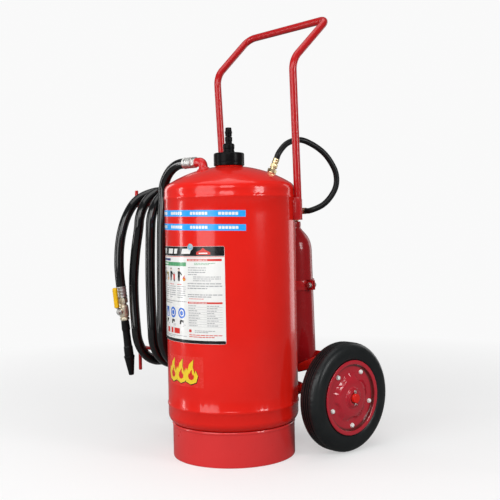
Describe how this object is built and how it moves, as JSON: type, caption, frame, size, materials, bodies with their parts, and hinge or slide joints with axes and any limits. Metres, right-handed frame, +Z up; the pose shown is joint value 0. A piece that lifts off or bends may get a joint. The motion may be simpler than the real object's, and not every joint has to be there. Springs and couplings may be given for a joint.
{
  "type": "wheeled fire extinguisher",
  "caption": "Wheeled dry-powder fire extinguisher: domed red vessel on a foot ring and axle, pull handle, rear gas bottle, hose coiled on a side rack with a valve and nozzle.",
  "frame": {"origin": "middle of the base of the part without its hose, on the floor", "axes": "+Z up; +X along the axle, away from the hose rack; -Y is the label side and +Y the axle and gas bottle side"},
  "size_m": [0.622, 0.5376, 1.1748],
  "materials": {
    "vessel_red": "gloss enamel",
    "frame_red": "gloss enamel",
    "bottle_red": "gloss enamel",
    "rim_red": "satin enamel",
    "tyre_rubber": "matt black",
    "hose_rubber": "smooth black",
    "gasket_rubber": "matt black",
    "black_plastic": "satin black",
    "zinc_steel": "zinc plated",
    "brass": "machined",
    "yellow_sleeve": "dipped vinyl",
    "label_vinyl": "printed film"
  },
  "bodies": {
    "cart": {"vessel_shell": "vessel_red", "foot_ring": "vessel_red", "neck_ring": "vessel_red", "dip_tube": "zinc_steel", "hose_ferrule_inlet": "zinc_steel", "hose_ferrule_tail": "zinc_steel", "gas_inlet_tube": "zinc_steel", "strap_bolt_left": "zinc_steel", "strap_bolt_right": "zinc_steel", "split_pin_left": "zinc_steel", "split_pin_right": "zinc_steel", "outlet_elbow": "frame_red", "rack_upper": "frame_red", "rack_lower": "frame_red", "handle_tube": "frame_red", "handle_bracket_left": "frame_red", "handle_bracket_right": "frame_red", "bottle_tray": "frame_red", "bottle_saddle": "frame_red", "bottle_strap": "frame_red", "axle": "frame_red", "axle_hanger_left": "frame_red", "axle_hanger_right": "frame_red", "hose": "hose_rubber", "gas_hose": "hose_rubber", "ball_valve_body": "brass", "bottle_valve_body": "brass", "gas_fitting_bottle": "brass", "gas_inlet_adaptor": "brass", "gas_fitting_dome": "brass", "nozzle_pipe": "black_plastic", "nozzle_tip": "black_plastic", "gas_bottle": "bottle_red"},
    "wheel_left": {"tyre_left": "tyre_rubber", "rim_outer_left": "rim_red", "rim_inner_left": "rim_red", "wheel_hub_left": "rim_red", "rim_bolt_left_1": "zinc_steel", "rim_bolt_left_2": "zinc_steel", "rim_bolt_left_3": "zinc_steel", "rim_bolt_left_4": "zinc_steel", "rim_bolt_left_5": "zinc_steel"},
    "wheel_right": {"tyre_right": "tyre_rubber", "rim_outer_right": "rim_red", "rim_inner_right": "rim_red", "wheel_hub_right": "rim_red", "rim_bolt_right_1": "zinc_steel", "rim_bolt_right_2": "zinc_steel", "rim_bolt_right_3": "zinc_steel", "rim_bolt_right_4": "zinc_steel", "rim_bolt_right_5": "zinc_steel"},
    "nozzle_lever": {"valve_ball": "zinc_steel", "valve_lever": "zinc_steel", "lever_sleeve": "yellow_sleeve"},
    "gas_handwheel": {"gas_handwheel": "black_plastic"},
    "cap_seal": {"cap_gasket": "gasket_rubber"},
    "filler_cap": {"filler_cap": "black_plastic", "relief_valve_body": "black_plastic", "relief_spring": "zinc_steel"},
    "relief_pull": {"relief_pull": "black_plastic"}
  },
  "joints": [
    {"name": "wheel_left_spin", "type": "hinge", "parent": "cart", "child": "wheel_left", "pos_m": [-0.147, 0.12225, 0.148], "axis": [1, 0, 0], "continuous": true},
    {"name": "wheel_right_spin", "type": "hinge", "parent": "cart", "child": "wheel_right", "pos_m": [0.265, 0.12225, 0.148], "axis": [1, 0, 0], "continuous": true},
    {"name": "nozzle_lever_turn", "type": "hinge", "parent": "cart", "child": "nozzle_lever", "pos_m": [-0.27084, -0.24027, 0.36911], "axis": [0.3256, -0.9394, -0.107], "range_deg": [0, 90]},
    {"name": "gas_valve_turn", "type": "hinge", "parent": "cart", "child": "gas_handwheel", "pos_m": [0.059, 0.13925, 0.617], "axis": [0, -0.0314, 0.9995], "range_deg": [0, 720]},
    {"name": "cap_lift", "type": "slide", "parent": "cart", "child": "cap_seal", "axis": [0, 0, 1], "range_m": [0, 0.009]},
    {"name": "cap_turn", "type": "hinge", "parent": "cap_seal", "child": "filler_cap", "pos_m": [0.059, -0.09375, 0.79], "axis": [0, 0, 1], "range_deg": [0, 1080]},
    {"name": "relief_lift", "type": "slide", "parent": "filler_cap", "child": "relief_pull", "axis": [0, 0, 1], "range_m": [0, 0.004], "stiffness_N_per_m": 800, "springref_m": -0.002, "deforming": ["relief_spring"]}
  ],
  "couplings": [
    {"joint": "cap_lift", "follows": "cap_turn", "m_per_rad": 0.00047746}
  ]
}
